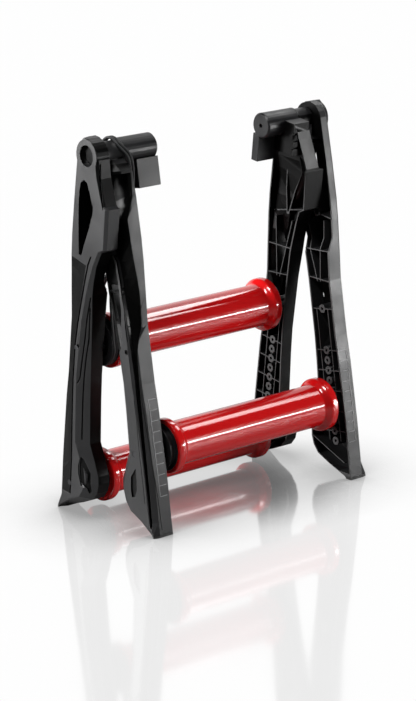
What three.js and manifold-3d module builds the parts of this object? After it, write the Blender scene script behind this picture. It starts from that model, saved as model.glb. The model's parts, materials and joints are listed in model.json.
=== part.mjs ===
// Folding bicycle rollers, stood up folded: two ladder-like sections meet at a hinge on top.
// X runs along the drums, -Y is the front, +Z is up, and the floor is Z = 0. All lengths are in millimetres.
// Each section is the same pair of mouldings turned half round: an outer rail with the pin eye,
// and an inner rail with the hinge neck, so the sections stand side by side by one stagger.
import * as THREE from 'three';
import { mergeVertices } from 'three/addons/utils/BufferGeometryUtils.js';
import Module from 'manifold-3d';

const wasm = await Module();
wasm.setup();

// Stance
const hingeHeight = 659;
const legTilt = THREE.MathUtils.degToRad(8);
const innerHalfWidth = 209.5;
const stagger = 24.7;
const seatGap = 0.3;
const overrun = 2;

// Rails
const railDepth = 39.4;
const railClearance = 3;
const outerEyeInset = 12.7;
const treadReach = 43;
const floorReach = 65;
const wall = 3;
const ribThickness = 1.8;
const ribSetback = 1;
const eyeRadius = 28.6;
const eyeRecessRadius = 18.6;
const eyeRecessDepth = 15;
const neckRadius = 20;
const neckStart = 2;
const beltRoom = 12;
const recessDepth = 2;
const holeRowRise = 231.5;
const holePitch = 19;
const holeCount = 10;
const holeRadius = 3.3;
const holeBossRadius = 8.4;
const flankRibOffset = 15;
const padThickness = 5;

// Drums
const rearRise = 49;
const pairSpacing = 260;
const holesAboveFrontCount = 5;
const axleOffset = 2;
const drumEndRoom = 24.5;
const drumRadius = 39.25;
const flangeRadius = 49.5;
const flangeLand = 12;
const flareLength = 14;
const flangeRound = 2.5;
const drumWall = 4;
const capPlugDepth = 12;
const capInset = 2.25;
const capReach = 8;
const grooveWall = 3.5;
const cheekHeight = 6.5;
const cheekThickness = 1.6;
const grooveWidth = 11.4;
const bearingRadius = 13;
const bearingWidth = 8;
const axleRadius = 5;
const axleSeatDepth = 10;
const spacerRadius = 8;
const screwRadius = 2.6;
const screwHeadRadius = 5;
const screwHeadDepth = 3;

// Hinges
const barrelRadius = 22.9;
const barrelLength = 70.85;
const barrelWall = 5;
const barrelHoleRadius = 4;
const plateWidth = 46;
const plateThickness = 16;
const plateLength = 50;
const pinRadius = 8;
const pinHeadRadius = 15;
const pinHeadDepth = 6;
const nutRadius = 14;
const nutDepth = 10;
const washerRadius = 18;
const washerThickness = 2;
const knuckleWidth = 36;
const knuckleDepth = 46;

// Drive belt
const beltRadius = 2.5;
const beltSpread = 2.85;
const beltSteps = 112;
const beltSides = 5;
const swapStartShare = 0.25;
const swapEndShare = 0.42;
const neckArcDegrees = [140, -10];
const pulleyArcDegrees = [20, -200];

// Facets round the drums, and round the caps and the pulleys pressed on them, which share their corners.
const drumSides = 24;
const capSides = 20;

// Places that follow from these sizes. A reach is measured down the leg from the hinge axis.
const rearReach = hingeHeight - rearRise;
const middleReach = rearReach - pairSpacing;
const holePlaces = Array.from({ length: holeCount }, (_, i) => hingeHeight - holeRowRise + i * holePitch);
const frontReach = holePlaces[holesAboveFrontCount];
const drumLength = (innerHalfWidth - drumEndRoom) * 2;
const drumBore = drumRadius - drumWall;
const capRadius = drumBore - capInset;
const grooveRadius = capRadius + grooveWall;
const cheekRadius = grooveRadius + cheekHeight;
const barrelOuter = innerHalfWidth + neckStart - wall - seatGap;
const barrelInner = barrelOuter - barrelLength;

const black = new THREE.MeshStandardMaterial({ color: 0x1b1b1d, roughness: 0.5, metalness: 0 });
const rubber = new THREE.MeshStandardMaterial({ color: 0x101011, roughness: 0.85, metalness: 0 });
const red = new THREE.MeshStandardMaterial({ color: 0xc31a1e, roughness: 0.18, metalness: 0 });
const steel = new THREE.MeshStandardMaterial({ color: 0xa9acb0, roughness: 0.35, metalness: 0.9 });
const darkSteel = new THREE.MeshStandardMaterial({ color: 0x3a3b3e, roughness: 0.45, metalness: 0.8 });
const nylon = new THREE.MeshStandardMaterial({ color: 0x2a2a2c, roughness: 0.6, metalness: 0 });

// Solids
function solid(geometry) {
  const bare = geometry.index ? geometry.toNonIndexed() : geometry.clone();
  bare.deleteAttribute('normal');
  bare.deleteAttribute('uv');
  const merged = mergeVertices(bare, 1e-4);
  return new wasm.Manifold(new wasm.Mesh({
    numProp: 3,
    vertProperties: new Float32Array(merged.attributes.position.array),
    triVerts: new Uint32Array(merged.index.array),
  }));
}

function geometryOf(body) {
  const mesh = body.getMesh();
  const geometry = new THREE.BufferGeometry();
  geometry.setAttribute('position', new THREE.BufferAttribute(new Float32Array(mesh.vertProperties), 3));
  geometry.setIndex(new THREE.BufferAttribute(new Uint32Array(mesh.triVerts), 1));
  const flat = geometry.toNonIndexed();
  flat.computeVertexNormals();
  return flat;
}

function named(name, body, material) {
  const mesh = new THREE.Mesh(body.isBufferGeometry ? body : geometryOf(body), material);
  mesh.name = name;
  return mesh;
}

function join(bodies) {
  return bodies.reduce((sum, body) => sum.add(body));
}

// A closed skin through rings of points that all run the same way round.
function loft(rings) {
  const count = rings[0].length;
  const positions = rings.flat(2);
  let faces = [];
  for (let i = 0; i + 1 < rings.length; i++) {
    for (let j = 0; j < count; j++) {
      const a = i * count + j;
      const b = i * count + (j + 1) % count;
      faces.push(a, b, b + count, a, b + count, a + count);
    }
  }
  const last = (rings.length - 1) * count;
  for (let j = 1; j + 1 < count; j++) {
    faces.push(0, j + 1, j);
    faces.push(last, last + j, last + j + 1);
  }
  const corner = (index) => new THREE.Vector3().fromArray(positions, index * 3);
  let volume = 0;
  for (let i = 0; i < faces.length; i += 3) {
    volume += corner(faces[i]).dot(corner(faces[i + 1]).cross(corner(faces[i + 2])));
  }
  if (volume < 0) faces = faces.reverse();
  const geometry = new THREE.BufferGeometry();
  geometry.setAttribute('position', new THREE.Float32BufferAttribute(positions, 3));
  geometry.setIndex(faces);
  return solid(geometry);
}

// A box between two corners, given in any order.
function block(x0, x1, y0, y1, z0, z1) {
  const geometry = new THREE.BoxGeometry(Math.abs(x1 - x0), Math.abs(y1 - y0), Math.abs(z1 - z0));
  geometry.translate((x0 + x1) / 2, (y0 + y1) / 2, (z0 + z1) / 2);
  return solid(geometry);
}

// A round bar along X, centred on y and z.
function bar(radius, x0, x1, y, z, sides = 24, farRadius = radius) {
  const geometry = new THREE.CylinderGeometry(farRadius, radius, Math.abs(x1 - x0), sides);
  geometry.rotateZ(x1 > x0 ? -Math.PI / 2 : Math.PI / 2);
  geometry.translate((x0 + x1) / 2, y, z);
  return solid(geometry);
}

// A turned piece about X: the profile lists [x, radius] from end to end.
function turned(profile, y, z, sides = 48) {
  const points = profile.map(([x, radius]) => new THREE.Vector2(radius, x));
  const geometry = new THREE.LatheGeometry(points, sides);
  geometry.rotateZ(-Math.PI / 2);
  geometry.translate(0, y, z);
  const body = solid(geometry);
  if (body.volume() > 0) return body;
  return solid(new THREE.LatheGeometry(points.reverse(), sides).rotateZ(-Math.PI / 2).translate(0, y, z));
}

// A value read off a broken line of [share, value] pairs.
function along(line, share) {
  if (share <= line[0][0]) return line[0][1];
  for (let i = 1; i < line.length; i++) {
    const [s0, v0] = line[i - 1];
    const [s1, v1] = line[i];
    if (share <= s1) return v0 + (v1 - v0) * (share - s0) / (s1 - s0);
  }
  return line[line.length - 1][1];
}

// Rails. Places along a rail are shares of the hinge height, measured from the hinge axis to the foot.
// The tread edge is on top and the floor edge is below when the rollers lie open.
// Each row is [place, tread edge, floor edge], the edges in shares of their own reach.
const footShares = [
  [0.118, 0.955, -1], [0.228, 0.99, -1], [0.24, 0.98, -0.79], [0.284, 0.96, -0.6], [0.332, 0.9, -0.49],
  [0.372, 0.855, -0.43], [0.45, 0.75, -0.4], [0.607, 0.765, -0.39], [0.68, 0.83, -0.42], [0.798, 0.86, -0.5],
  [0.838, 0.87, -0.74], [0.877, 0.87, -0.94], [0.9, 0.86, -0.97], [0.926, 0.85, -0.93], [0.95, 0.845, -0.78],
  [0.976, 0.835, -0.34], [1.008, 0.825, 0.3], [1.04, 0.82, 0.5],
];
const outerTopShares = [[-0.045, 0.3, 0.02], [-0.034, 0.64, -0.26], [-0.016, 0.82, -0.37], [0, 0.88, -0.46],
  [0.047, 0.91, -0.57], [0.114, 0.95, -0.86]];
const innerTopShares = [[0.009, 0.2, -0.71], [0.03, 0.6, -0.74], [0.047, 0.88, -0.78], [0.114, 0.95, -0.92]];
const outerShares = [...outerTopShares, ...footShares];
const innerShares = [...innerTopShares, ...footShares];
// Widths are shares of the rail depth, measured from the section's inner plane.
const innerSkinShare = 0.87;
const outerFaceInset = railDepth * innerSkinShare - stagger + railClearance;
const outerFaceShares = [[0.332, 1], [0.372, 0]];
const innerFaceShares = [[0.01, -0.63], [0.114, -0.18], [0.118, -0.36], [0.228, -0.24], [0.284, -0.05],
  [0.3, 0]];
const innerSkinShares = [[0.332, innerSkinShare], [0.4, 1]];
const outerEdgeShares = [[0.3, 0.9], [0.4, 0.8], [0.5, 0.63], [0.8, 0.6]];
const innerEdgeShares = [[0.01, 0.1], [0.114, 0.56], [0.118, 0.74], [0.228, 0.74], [0.24, 0.64], [0.38, 0.79],
  [0.5, 0.62], [0.8, 0.6]];
const outerStripShares = [[0.4, 0.66], [0.5, 0.71]];
const innerStripShares = [[0.3, 0.62], [0.5, 0.71]];
const chamferShare = 0.34;
const slopeShare = 1.5;
const footEndShare = 1.04;
const outerOpenShare = 0.05;
const innerOpenShare = -0.02;

function edgeAt(isOuter, share) {
  const rows = isOuter ? outerShares : innerShares;
  return {
    tread: treadReach * along(rows.map(([place, tread]) => [place, tread]), share),
    floor: floorReach * along(rows.map(([place, , floor]) => [place, floor]), share),
  };
}

// One cross-section of a rail, drawn in by inset on every side but the open one.
function railRing(isOuter, side, share, inset) {
  const { tread, floor } = edgeAt(isOuter, share);
  const back = inset > 0 ? overrun : 0;
  const outerFace = outerFaceInset * along(outerFaceShares, share);
  const treadFace = (isOuter ? outerFace : 0) - back;
  const floorFace = (isOuter ? outerFace : railDepth * along(innerFaceShares, share)) - back;
  const skin = isOuter ? railDepth : railDepth * along(innerSkinShares, share);
  const strip = railDepth * along(isOuter ? outerStripShares : innerStripShares, share);
  const edge = railDepth * along(isOuter ? outerEdgeShares : innerEdgeShares, share);
  const chamfer = railDepth * chamferShare;
  const reach = tread - floor;
  const ring = [
    [treadFace, tread - inset],
    [strip, tread - inset],
    [skin - inset, tread - Math.min(chamfer, reach / 4) - inset / 2],
    [skin - inset, floor + Math.min((skin - edge) * slopeShare, reach / 2) + inset],
    [edge, floor + inset],
    [floorFace, floor + inset],
  ];
  return ring.map(([w, v]) => [side * (innerHalfWidth + w), v, -share * hingeHeight]);
}

function railBody(isOuter, side, from, to, inset) {
  const rows = isOuter ? outerShares : innerShares;
  const inside = rows.map(([share]) => share).filter((share) => share > from && share < to);
  return loft([from, ...inside, to].map((share) => railRing(isOuter, side, share, inset)));
}

// A thin wall from one place to another, as deep as the rail; its open edge sits back by setback.
function rib(side, from, to, setback) {
  const [u0, v0] = from;
  const [u1, v1] = to;
  const length = Math.hypot(u1 - u0, v1 - v0);
  const geometry = new THREE.BoxGeometry(railDepth * 2, length, ribThickness);
  geometry.rotateX(Math.atan2(u0 - u1, v1 - v0));
  geometry.translate(side * (innerHalfWidth + setback + railDepth), (v0 + v1) / 2, -(u0 + u1) / 2);
  return solid(geometry);
}

// The window between the two arms under the hinge: rows of [place, middle, half width].
const windowShares = [[0.066, 0.03, 0.02], [0.09, -0.05, 0.16], [0.14, -0.12, 0.3], [0.2, -0.02, 0.17],
  [0.268, 0.02, 0.02]];

function windowBody(side, inset, setback) {
  const x0 = side * (innerHalfWidth + setback);
  const x1 = side * (innerHalfWidth + railDepth + overrun);
  const stretch = inset / hingeHeight;
  const last = windowShares.length - 1;
  const rows = windowShares.map(([share, middle, half], i) => {
    const place = share + (i === 0 ? -stretch : 0) + (i === last ? stretch * 2 : 0);
    return [place * hingeHeight, middle * floorReach, half * floorReach + inset];
  });
  const points = rows.map(([u, v, half]) => new THREE.Vector2(v + half, u));
  points.push(...rows.reverse().map(([u, v, half]) => new THREE.Vector2(v - half, u)));
  const geometry = new THREE.ExtrudeGeometry(new THREE.Shape(points), {
    depth: Math.abs(x1 - x0),
    bevelEnabled: false,
  });
  // The outline's own axes (v, u, depth) become Y, -Z and X.
  const toSide = new THREE.Matrix4().makeBasis(
    new THREE.Vector3(0, 1, 0),
    new THREE.Vector3(0, 0, -1),
    new THREE.Vector3(-1, 0, 0),
  );
  geometry.applyMatrix4(toSide).translate(Math.max(x0, x1), 0, 0);
  return solid(geometry);
}

// Everything under the floor, tilted into the section's own frame and lifted by height.
function floorBody(height) {
  const size = hingeHeight;
  const geometry = new THREE.BoxGeometry(size * 2, size, size);
  geometry.translate(0, 0, -size / 2 - hingeHeight + height);
  geometry.rotateX(-legTilt);
  return solid(geometry);
}

// Ribs as rows of [place, part of the edge there, place, part]; the shelf leaves room for the belt.
const shelfShares = [0.28, 1, 0.235, -1];
const ribShares = [[0.37, 1, 0.36, -1], [0.455, 1, 0.44, -1], [0.285, 0.5, 0.455, 0.15],
  [0.28, -0.6, 0.455, -0.1], [0.97, 0.55, 0.9, -0.97]];

function railRibs(isOuter, side) {
  const setback = isOuter ? ribSetback : beltRoom;
  const edge = (share, part) => {
    const { tread, floor } = edgeAt(isOuter, share);
    return [share * hingeHeight, part > 0 ? tread * part : -floor * part];
  };
  const between = ([share0, part0, share1, part1], back) => [edge(share0, part0), edge(share1, part1), back];
  const middleShare = middleReach / hingeHeight;
  const ribs = [between(shelfShares, setback), between([middleShare, 1, middleShare, -1], ribSetback)];
  ribs.push(...ribShares.map((row) => between(row, ribSetback)));
  for (const offset of [-flankRibOffset, flankRibOffset]) {
    const start = [middleReach, axleOffset + offset];
    ribs.push([start, [holePlaces[holeCount - 1], axleOffset + offset], ribSetback]);
  }
  for (let i = 0; i < holeCount; i += 2) {
    const u = holePlaces[i];
    const share = u / hingeHeight;
    ribs.push([edge(share, 1), edge(share, -1), ribSetback]);
  }
  return join(ribs.map(([from, to, back]) => rib(side, from, to, back)));
}

// The shallow recess in the skin of the foot, as rows of [place, upper side, lower side].
const footRecessShares = [[0.832, -0.4, -0.5], [0.86, -0.33, -0.8], [0.885, -0.36, -0.87],
  [0.915, -0.5, -0.84]];

function footRecess(side, skin) {
  const outline = footRecessShares.map(([share, near]) => [share, near]);
  outline.push(...[...footRecessShares].reverse().map(([share, , far]) => [share, far]));
  const rings = [skin - recessDepth, skin + overrun].map((w) => outline.map(([share, v]) => (
    [side * (innerHalfWidth + w), v * floorReach, -share * hingeHeight]
  )));
  return loft(rings);
}

// A spare hole is left out where it would lie closer to an axle than this share of a boss radius.
const bossRoomShare = 1.6;

function rail(isOuter, side, reaches) {
  const rows = isOuter ? outerShares : innerShares;
  const outside = railBody(isOuter, side, rows[0][0], footEndShare, 0);
  const openShare = isOuter ? outerOpenShare : innerOpenShare;
  const inside = railBody(isOuter, side, openShare, footEndShare, wall)
    .subtract(floorBody(padThickness + wall * 2));
  const core = railBody(isOuter, side, openShare, footEndShare, wall / 2)
    .subtract(floorBody(padThickness + wall));
  const face = side * innerHalfWidth;
  const skin = side * (innerHalfWidth + railDepth);
  // Bosses for the axles and the row of spare axle holes.
  const spares = [middleReach, ...holePlaces].filter((u) => (
    reaches.every((reach) => Math.abs(reach - u) > holeBossRadius * bossRoomShare)
  ));
  let lattice = railRibs(isOuter, side);
  for (const u of [...reaches, ...spares]) {
    lattice = lattice.add(bar(holeBossRadius, face + side * ribSetback, skin, axleOffset, -u, 7));
  }
  let body = outside.subtract(inside).add(lattice.intersect(core));
  for (const u of spares) {
    const hole = bar(holeRadius, face - side * overrun, skin - side * wall * 2, axleOffset, -u, 5);
    body = body.subtract(hole);
  }
  for (const u of reaches) {
    const seatEnd = face + side * (ribSetback + axleSeatDepth);
    const headSeat = skin - side * (screwHeadDepth + seatGap);
    body = body.subtract(bar(axleRadius + seatGap, face - side * overrun, seatEnd, axleOffset, -u, 12));
    body = body.subtract(bar(screwRadius + seatGap, face, skin + side * overrun, axleOffset, -u, 8));
    body = body.subtract(bar(screwHeadRadius + seatGap, headSeat, skin + side * overrun, axleOffset, -u, 12));
  }
  // The window and the wall around it.
  const rimBack = isOuter ? ribSetback : beltRoom;
  body = body.add(windowBody(side, ribThickness, rimBack).intersect(core));
  body = body.subtract(windowBody(side, 0, -railDepth));
  if (isOuter) body = body.subtract(footRecess(side, railDepth));
  body = isOuter ? addEye(body, side) : addNeck(body, side);
  return largest(body.subtract(floorBody(padThickness)));
}

// The outer rail's eye, with the recess where the pin head sits.
function addEye(rail, side) {
  const eyeInner = side * (innerHalfWidth + outerEyeInset);
  const skin = side * (innerHalfWidth + railDepth);
  const recess = bar(eyeRecessRadius, skin - side * eyeRecessDepth, skin + side * overrun, 0, 0, 24);
  const bore = bar(pinRadius + seatGap, eyeInner - side * overrun, skin, 0, 0, 16);
  return rail.add(bar(eyeRadius, eyeInner, skin, 0, 0, 28)).subtract(recess).subtract(bore);
}

const neckReliefShare = 0.1;
const bandShares = [0.3, 0.52, 0.74];

// The inner rail's neck and the knuckle that cradles the hinge barrel.
function addNeck(rail, side) {
  const base = side * (innerHalfWidth + neckStart);
  const web = base - side * wall;
  const end = side * (innerHalfWidth + stagger + outerEyeInset - washerThickness - seatGap * 2);
  const start = base - side * knuckleWidth;
  const top = neckRadius / 2;
  const back = railDepth * neckReliefShare;
  let knuckle = block(start, base, -knuckleDepth, neckStart, top, -plateLength);
  for (const share of bandShares) {
    const z = top - share * (plateLength + top);
    knuckle = knuckle.subtract(block(start - side * overrun, web - side * wall, -knuckleDepth - overrun,
      -knuckleDepth + wall, z, z - wall));
  }
  const seat = bar(barrelRadius + seatGap, start - side * overrun, web - side * seatGap, 0, 0, 36);
  const pocket = block(start + side * wall, web - side * wall, -knuckleDepth + wall * 2, neckStart + overrun,
    -barrelRadius - wall, -plateLength - overrun);
  knuckle = knuckle.subtract(seat).subtract(pocket);
  knuckle = knuckle.add(bar(barrelRadius, web, base, 0, 0, 36)).add(bar(neckRadius, web, end, 0, 0, 28));
  const bore = bar(pinRadius + seatGap, start, end + side * overrun, 0, 0, 16);
  const trunk = rail.subtract(bar(barrelRadius + back, start - side * overrun, web, 0, 0, 36));
  return trunk.add(knuckle).subtract(bore);
}

// The biggest connected piece, so that no rib end is left loose.
function largest(body) {
  return body.decompose().sort((a, b) => b.volume() - a.volume())[0];
}

const padStartShare = 0.9;

function footPad(isOuter, side) {
  const whole = railBody(isOuter, side, padStartShare, footEndShare, 0);
  return whole.intersect(floorBody(padThickness - seatGap)).subtract(floorBody(0));
}

// Drums
function drumShell(y, z) {
  const half = drumLength / 2;
  const flareStart = half - flangeLand - flareLength;
  const steps = 4;
  const side = [];
  for (let i = 0; i <= steps; i++) {
    const share = i / steps;
    const rise = (1 - Math.cos(share * Math.PI)) / 2;
    side.push([flareStart + share * flareLength, drumRadius + (flangeRadius - drumRadius) * rise]);
  }
  side.push([half - flangeRound, flangeRadius]);
  side.push([half, flangeRadius - flangeRound]);
  const outside = [...side].reverse().map(([x, radius]) => [-x, radius]).concat(side);
  const inside = [[half, drumBore], [-half, drumBore]];
  return turned([...outside, ...inside, outside[0]], y, z, drumSides);
}

// An end cap pressed into the drum; side tells which end it closes.
function drumCap(side, y, z) {
  const face = drumLength / 2 + seatGap;
  const bore = drumBore - seatGap * 2;
  const profile = [
    [face - capPlugDepth, bearingRadius + seatGap],
    [face - capPlugDepth, bore],
    [face, bore],
    [face, capRadius],
    [face + capReach, capRadius],
    [face + capReach, capRadius - wall * 1.5],
    [face + wall, capRadius - wall * 2.5],
    [face + capReach, bearingRadius + wall],
    [face + capReach, bearingRadius + seatGap],
    [face - capPlugDepth, bearingRadius + seatGap],
  ];
  return turned(profile.map(([x, radius]) => [side * x, radius]), y, z, capSides);
}

const capEnd = drumLength / 2 + seatGap + capReach;

// A belt pulley pressed on the cap's rim, with its groove between a thin cheek and a rounded rim.
function drivePulley(side, y, z) {
  const face = drumLength / 2 + seatGap;
  const inner = capRadius + seatGap;
  const profile = [
    [face, inner],
    [face, cheekRadius],
    [face + cheekThickness / 2, cheekRadius],
    [face + cheekThickness, grooveRadius],
    [face + cheekThickness + grooveWidth, grooveRadius],
    [face + cheekThickness * 1.5 + grooveWidth, cheekRadius - cheekThickness / 2],
    [face + cheekThickness * 2 + grooveWidth, cheekRadius - cheekThickness / 2],
    [face + cheekThickness * 2.5 + grooveWidth, cheekRadius - cheekThickness],
    [face + cheekThickness * 2.5 + grooveWidth, capRadius - wall],
    [face + capReach + seatGap, capRadius - wall],
    [face + capReach + seatGap, inner],
    [face, inner],
  ];
  return turned(profile.map(([x, radius]) => [side * x, radius]), y, z, capSides);
}

function bearing(side, y, z) {
  const from = capEnd - bearingWidth;
  const to = capEnd - seatGap;
  const ring = bar(bearingRadius, side * from, side * to, y, z, 14);
  return ring.subtract(bar(axleRadius + seatGap, side * (from - overrun), side * (to + overrun), y, z, 12));
}

function spacer(side, y, z) {
  const from = capEnd + seatGap;
  const to = innerHalfWidth + ribSetback - seatGap;
  const ring = bar(spacerRadius, side * from, side * to, y, z, 10);
  return ring.subtract(bar(axleRadius + seatGap, side * (from - overrun), side * (to + overrun), y, z, 10));
}

function axle(y, z) {
  const end = innerHalfWidth + ribSetback + axleSeatDepth - seatGap;
  const rod = bar(axleRadius, -end, end, y, z, 12);
  const tapped = end - axleSeatDepth * 2;
  return rod.subtract(bar(screwRadius + seatGap, -end - overrun, -tapped, y, z, 6))
    .subtract(bar(screwRadius + seatGap, tapped, end + overrun, y, z, 6));
}

function axleScrew(side, y, z) {
  const seat = innerHalfWidth + railDepth - screwHeadDepth;
  const tip = innerHalfWidth + ribSetback - axleSeatDepth / 2;
  const head = bar(screwHeadRadius, side * seat, side * (seat + screwHeadDepth - seatGap), y, z, 8);
  return head.add(bar(screwRadius, side * tip, side * (seat + screwHeadDepth / 2), y, z, 6));
}

function drumGroup(name, reach, outerIsLeft) {
  const group = new THREE.Group();
  const y = axleOffset;
  const z = -reach;
  const label = (side) => ((side < 0) === outerIsLeft ? 'left' : 'right');
  const leftSide = outerIsLeft ? -1 : 1;
  group.add(named(`${name}_drum`, drumShell(y, z), red));
  if (reach !== rearReach) group.add(named(`${name}_pulley`, drivePulley(leftSide, y, z), black));
  for (const side of [-1, 1]) {
    group.add(named(`${name}_drum_cap_${label(side)}`, drumCap(side, y, z), black));
    group.add(named(`${name}_bearing_${label(side)}`, bearing(side, y, z), steel));
    group.add(named(`${name}_spacer_${label(side)}`, spacer(side, y, z), nylon));
    group.add(named(`${name}_axle_screw_${label(side)}`, axleScrew(side, y, z), darkSteel));
  }
  group.add(named(`${name}_axle`, axle(y, z), steel));
  return group;
}

// Hinge hardware, carried by the inner rail at +X of the section's own frame.
function hingeBarrel() {
  const lip = barrelWall / 2;
  let body = turned([
    [barrelInner, 0],
    [barrelInner, barrelRadius - lip],
    [barrelInner + lip, barrelRadius],
    [barrelOuter, barrelRadius],
    [barrelOuter, 0],
  ], 0, 0, 28);
  const plateTop = -(barrelRadius - barrelWall);
  const plateFront = neckStart + seatGap;
  const plate = block(barrelInner, barrelInner + plateWidth, plateFront, plateFront + plateThickness,
    plateTop, plateTop - plateLength);
  body = body.add(plate);
  const floor = barrelInner + barrelWall;
  body = body.subtract(bar(barrelRadius - barrelWall, floor, barrelOuter + overrun, 0, 0, 24));
  return body.subtract(bar(barrelHoleRadius, barrelInner - overrun, floor + overrun, 0, 0, 12));
}

const pinHeadSeat = innerHalfWidth + stagger + railDepth - eyeRecessDepth + seatGap;

function hingePin() {
  return bar(pinRadius, barrelOuter - nutDepth * 1.5, pinHeadSeat + seatGap, 0, 0, 20)
    .add(bar(pinHeadRadius, pinHeadSeat, pinHeadSeat + pinHeadDepth, 0, 0, 6));
}

function hingeNut() {
  const from = barrelOuter - nutDepth;
  const nut = bar(nutRadius, from, barrelOuter, 0, 0, 6);
  return nut.subtract(bar(pinRadius + seatGap, from - overrun, barrelOuter + overrun, 0, 0, 20));
}

function hingeWasher() {
  const from = innerHalfWidth + stagger + outerEyeInset - washerThickness - seatGap;
  const to = from + washerThickness;
  const disc = bar(washerRadius, from, to, 0, 0, 16);
  return disc.subtract(bar(pinRadius + seatGap, from - overrun, to + overrun, 0, 0, 16));
}

// Drive belt: parked as a double loop over the left hinge neck and the middle pulley.
const beltPlane = -(drumLength / 2 + stagger / 2 + seatGap + cheekThickness + grooveWidth / 2);
const neckPlane = beltPlane - beltSpread;
const tiltAxis = new THREE.Vector3(1, 0, 0);
const middleCentre = new THREE.Vector3(0, axleOffset, -middleReach).applyAxisAngle(tiltAxis, legTilt);

function beltArc(x, centreY, centreZ, radius, [from, to], count) {
  return Array.from({ length: count }, (_, i) => {
    const angle = THREE.MathUtils.degToRad(from + (to - from) * i / (count - 1));
    return [x, centreY + radius * Math.cos(angle), centreZ + radius * Math.sin(angle)];
  });
}

class DoubledLoop extends THREE.Curve {
  constructor(centre) {
    super();
    this.centre = centre;
  }

  getPoint(t, target = new THREE.Vector3()) {
    const turn = (t * 2) % 1;
    // The two turns run side by side and change places on the hidden stretch behind the neck.
    const swap = THREE.MathUtils.smoothstep(turn, swapStartShare, swapEndShare);
    const angle = Math.PI * (swap + (t >= 0.5 ? 1 : 0));
    const along = this.centre.getTangent(turn);
    const across = new THREE.Vector3(1, 0, 0).addScaledVector(along, -along.x).normalize();
    const outward = along.clone().cross(across);
    this.centre.getPoint(turn, target);
    target.addScaledVector(across, beltSpread * Math.cos(angle));
    return target.addScaledVector(outward, beltSpread * Math.sin(angle));
  }
}

function driveBelt() {
  const neckLoop = neckRadius + beltRadius + seatGap * 9;
  const pulleyLoop = grooveRadius + beltRadius + seatGap * 5;
  const { y, z } = middleCentre;
  const inPlane = stagger / 2 - innerHalfWidth + beltSpread + beltRadius;
  const inner = -(barrelInner + plateWidth);
  const back = [
    [neckPlane, neckLoop * 0.65, z * 0.114],
    [inPlane - beltRadius, neckLoop * 0.235, z * 0.247],
    [inner, y * 0.234, z * 0.4],
    [inner, y * 0.546, z * 0.552],
    [(inner + beltPlane) / 2, y * 1.17, z * 0.723],
  ];
  const front = [
    [(inPlane + beltPlane) / 2, y * 0.468, z * 0.723],
    [inPlane + beltRadius * 2, y * 0.338, z * 0.59],
    [inPlane, 0, z * 0.457],
    [inPlane, -neckLoop * 0.68, z * 0.333],
    [inPlane + beltRadius, -neckLoop * 1.23, z * 0.114],
    [inPlane - beltRadius / 2, -neckLoop * 1.15, z * 0.015],
  ];
  const points = [
    ...beltArc(neckPlane, 0, 0, neckLoop, neckArcDegrees, 6),
    ...back,
    ...beltArc(beltPlane, y, z, pulleyLoop, pulleyArcDegrees, 7),
    ...front,
  ];
  const centre = new THREE.CatmullRomCurve3(points.map((point) => new THREE.Vector3(...point)), true);
  return new DoubledLoop(centre);
}

// The least clear space between stretches of the belt that lie more than a few radii apart along it.
function leastSelfGap(curve, samples) {
  const points = curve.getSpacedPoints(samples).slice(0, samples);
  const step = curve.getLength() / samples;
  const skip = Math.ceil(beltRadius * 6 / step);
  let least = Infinity;
  for (let i = 0; i < samples; i++) {
    for (let j = i + skip; j < Math.min(samples, i + samples - skip); j++) {
      least = Math.min(least, points[i].distanceTo(points[j]) - beltRadius * 2);
    }
  }
  return least;
}

// One section, hanging from the hinge axis at its own origin.
function section(name, drums, outerIsLeft) {
  const group = new THREE.Group();
  const outerLabel = outerIsLeft ? 'left' : 'right';
  const innerLabel = outerIsLeft ? 'right' : 'left';
  const reaches = drums.map(([, reach]) => reach);
  group.add(named(`${name}_rail_${outerLabel}`, rail(true, -1, reaches), black));
  group.add(named(`${name}_rail_${innerLabel}`, rail(false, 1, reaches), black));
  group.add(named(`${name}_foot_pad_${outerLabel}`, footPad(true, -1), rubber));
  group.add(named(`${name}_foot_pad_${innerLabel}`, footPad(false, 1), rubber));
  for (const [drum, reach] of drums) group.add(drumGroup(drum, reach, outerIsLeft));
  group.add(named(`hinge_barrel_${innerLabel}`, hingeBarrel(), black));
  group.add(named(`hinge_pin_${innerLabel}`, hingePin(), steel));
  group.add(named(`hinge_nut_${innerLabel}`, hingeNut(), darkSteel));
  group.add(named(`hinge_washer_${innerLabel}`, hingeWasher(), nylon));
  group.position.x = -stagger / 2;
  return group;
}

const rollers = new THREE.Group();
const rearFrame = new THREE.Group();
rearFrame.position.z = hingeHeight;
rearFrame.rotation.x = legTilt;
rearFrame.add(section('rear', [['middle', middleReach], ['rear', rearReach]], true));
const frontFrame = new THREE.Group();
frontFrame.position.z = hingeHeight;
frontFrame.rotation.set(legTilt, 0, Math.PI, 'ZXY');
frontFrame.add(section('front', [['front', frontReach]], false));
const beltRoute = driveBelt();
const beltGap = leastSelfGap(beltRoute, 900);
console.log('belt length', beltRoute.getLength().toFixed(), 'least gap', beltGap.toFixed(2));
// The belt is one endless tube, so it has no ends to close.
const beltTube = new THREE.TubeGeometry(beltRoute, beltSteps, beltRadius, beltSides, true);
const belt = named('drive_belt', beltTube, rubber);
belt.position.z = hingeHeight;
rollers.add(rearFrame, frontFrame, belt);

// The footprint is centred on the origin.
const footprint = new THREE.Box3().setFromObject(rollers, true);
rollers.position.y = -(footprint.min.y + footprint.max.y) / 2;

export default rollers;
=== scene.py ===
# Dresses the folded bicycle rollers: moulded black frames, glossy red drums, the parked belt and a studio.
# Lengths are in metres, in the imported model's frame: +Y is the back, +Z is up, the floor is Z = 0. Only the
# places along the rails are in millimetres.
import json
import math

import bmesh
import bpy
from mathutils import Matrix, Vector


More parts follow.
